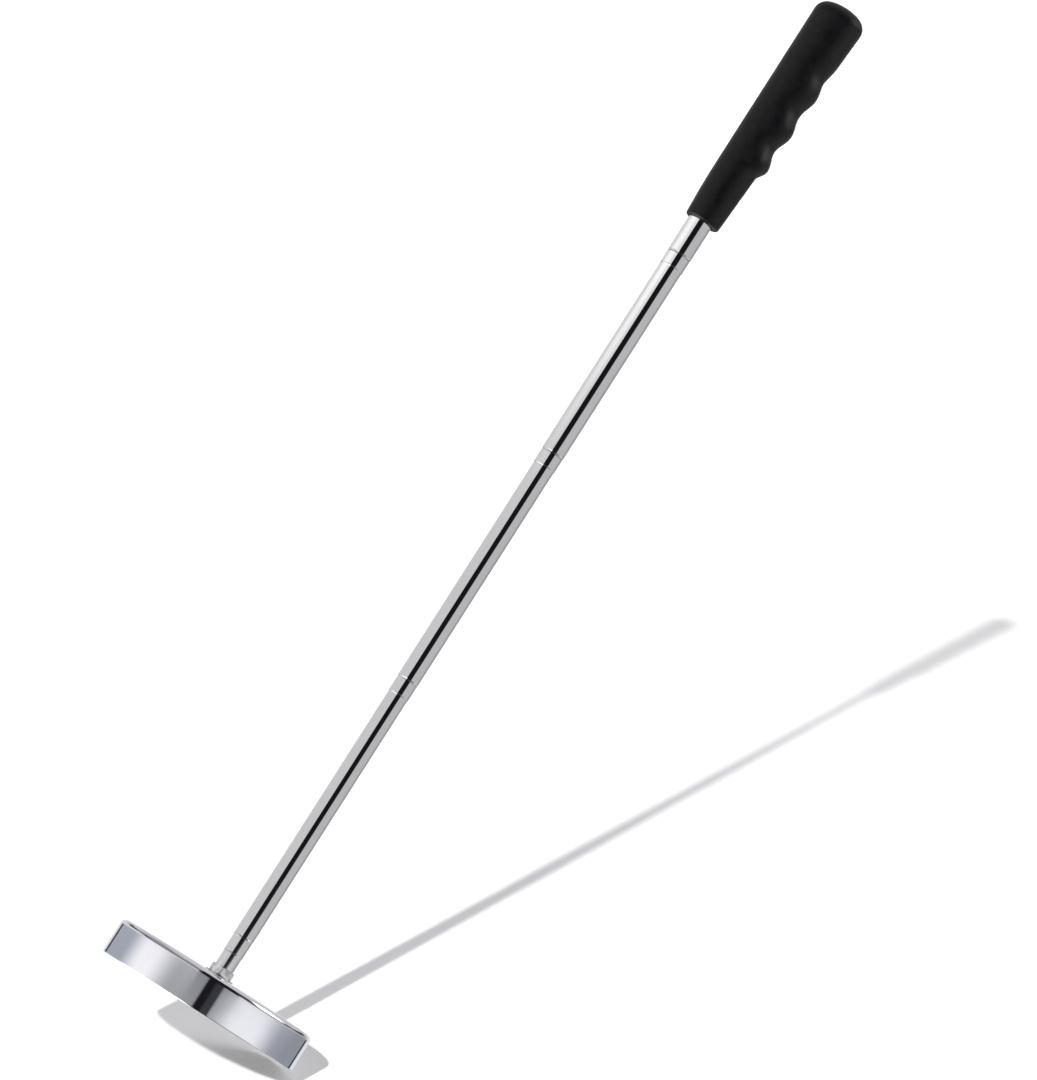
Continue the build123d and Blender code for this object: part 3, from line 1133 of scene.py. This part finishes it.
@dataclass
class Studio:
    """Pale sloping floor, a room of white and grey cards, and one soft key light.

    The floor slopes in degrees from the picture's own level, and the key light's travel is given
    along the picture's right, up and towards-the-camera directions.
    """

    view: Viewpoint
    slope: float = 16.0
    floor_size: float = 14.0
    floor_gap: float = 0.0004
    floor_shade: float = 0.80
    floor_roughness: float = 0.9
    key_travel: tuple[float, float, float] = (0.205, -0.414, -0.887)
    key_strength: float = 4.2
    key_spread: float = 1.7
    # Painted light on the floor: its emitted glow near the object, its stronger glow further out, and
    # the distances between, which fade its shadows with distance.
    near_painted_glow: float = 0.17
    far_painted_glow: float = 0.30
    painted_glow_reach: tuple[float, float] = (0.25, 0.85)

    def floor_normal(self) -> Vector:
        """Which way the floor faces: up in the picture, leaning towards the camera."""
        _, up, back = self.view.axes()
        lean = math.radians(self.slope)
        return up * math.cos(lean) + back * math.sin(lean)

    def floor_material(self) -> bpy.types.Material:
        """Pale floor that shows only from above, with painted light: an emitted glow that gets a little
        stronger further out, so shadows on it fade with distance.
        """
        made = bpy.data.materials.new("pale_floor")
        made.use_nodes = True
        sheet = NodeSheet(made.node_tree)
        nodes = made.node_tree.nodes
        shader = nodes["Principled BSDF"]
        shade = rgba((self.floor_shade,) * 3)
        sheet.feed(shader, Base_Color=shade, Roughness=self.floor_roughness, Specular_IOR_Level=0.0)
        # Painted light: emission that rises with distance from the object's origin, lifting the floor
        # and its shadows further out.
        away = sheet.add("VectorMath", operation="LENGTH")
        sheet.feed(away, i0=sheet.add("TexCoord").outputs["Object"])
        share = sheet.ramp(away.outputs["Value"], *self.painted_glow_reach)
        glow = sheet.mix(share, rgba((self.near_painted_glow,) * 3), rgba((self.far_painted_glow,) * 3))
        sheet.feed(shader, Emission_Color=glow, Emission_Strength=1.0)
        clear = sheet.add("BsdfTransparent")
        switch = sheet.add("MixShader")
        behind = sheet.add("NewGeometry").outputs["Backfacing"]
        sheet.join(behind, switch.inputs[0])
        sheet.join(shader.outputs[0], switch.inputs[1])
        sheet.join(clear.outputs[0], switch.inputs[2])
        sheet.join(switch.outputs[0], nodes["Material Output"].inputs["Surface"])
        return made

    def floor(self) -> None:
        """The floor, which just touches the cup's lowest rim point."""
        normal = self.floor_normal()
        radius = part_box("magnet_cup")[1].x
        drop = radius * math.hypot(normal.x, normal.y) + self.floor_gap
        half = self.floor_size / 2
        shape = bmesh.new()
        corners = [(-half, -half, 0), (half, -half, 0), (half, half, 0), (-half, half, 0)]
        shape.faces.new([shape.verts.new(corner) for corner in corners])
        piece = finish_mesh("studio_floor", shape)
        turn = Vector((0, 0, 1)).rotation_difference(normal).to_matrix().to_4x4()
        piece.matrix_world = Matrix.Translation(normal * -drop) @ turn
        piece.data.materials.append(self.floor_material())
        piece.visible_glossy = False
        piece.visible_diffuse = False

    def key_light(self) -> None:
        """A soft sun from beside the camera, which lays the rod's pale shadow on the floor."""
        right, up, back = self.view.axes()
        travel = right * self.key_travel[0] + up * self.key_travel[1] + back * self.key_travel[2]
        data = bpy.data.lights.new("key_light", "SUN")
        data.energy = self.key_strength
        data.angle = math.radians(self.key_spread)
        light = bpy.data.objects.new("key_light", data)
        light.rotation_mode = "QUATERNION"
        light.rotation_quaternion = travel.to_track_quat("-Z", "Y")
        light.visible_glossy = False
        bpy.context.scene.collection.objects.link(light)

    def room(self) -> None:
        """White and grey cards all round, with a narrow dark gap on the camera's side."""
        world = bpy.data.worlds.new("studio_room")
        world.use_nodes = True
        bpy.context.scene.world = world
        sheet = NodeSheet(world.node_tree)
        nodes = world.node_tree.nodes
        sky = nodes["Background"]
        ray = sheet.add("SeparateXYZ")
        sheet.feed(ray, Vector=sheet.add("TexCoord").outputs["Generated"])
        side = sheet.math("ARCTAN2", ray.outputs["X"], sheet.math("MULTIPLY", ray.outputs["Y"], -1.0))
        turn = sheet.math("MULTIPLY", side, math.degrees(1.0))
        rise = sheet.math("MULTIPLY", sheet.math("ARCSINE", ray.outputs["Z"]), math.degrees(1.0))
        shade = self.cards(sheet, turn, TIERS[0].cards)
        for tier in TIERS[1:]:
            edge = sheet.ramp(rise, tier.start - tier.softness / 2, tier.start + tier.softness / 2)
            shade = sheet.mix(edge, shade, self.cards(sheet, turn, tier.cards))
        sheet.feed(sky, Color=shade, Strength=1.0)
        plain = sheet.add("Background")
        sheet.feed(plain, Color=rgba((1.0, 1.0, 1.0)), Strength=1.0)
        switch = sheet.add("MixShader")
        sheet.join(sheet.add("LightPath").outputs["Is Camera Ray"], switch.inputs[0])
        sheet.join(sky.outputs[0], switch.inputs[1])
        sheet.join(plain.outputs[0], switch.inputs[2])
        sheet.join(switch.outputs[0], nodes["World Output"].inputs["Surface"])

    def cards(
        self, sheet: NodeSheet, turn: bpy.types.NodeSocket, cards: Sequence[Card]
    ) -> bpy.types.NodeSocket:
        """Bands of grey by angle round the rod, each meeting the next over a soft edge."""
        shade: object = rgba(cards[0].shade)
        for card in cards[1:]:
            edge = sheet.ramp(turn, card.start - card.softness / 2, card.start + card.softness / 2)
            shade = sheet.mix(edge, shade, rgba(card.shade))
        return shade

    def build(self) -> None:
        """Makes the floor, the light and the room."""
        self.floor()
        self.key_light()
        self.room()
        bpy.context.scene.view_settings.view_transform = "Standard"
        LOG.info("studio ready")


def main() -> None:
    """Builds the object, its finishes and the studio."""
    logging.basicConfig(level=logging.INFO, format="%(message)s")
    shelf = FinishShelf()
    view = Viewpoint()
    view.build()
    MagnetHead(shelf).build()
    TelescopicRod(shelf).build()
    FingerGrip(shelf).build()
    Studio(view).build()


if __name__ == "__main__":
    main()
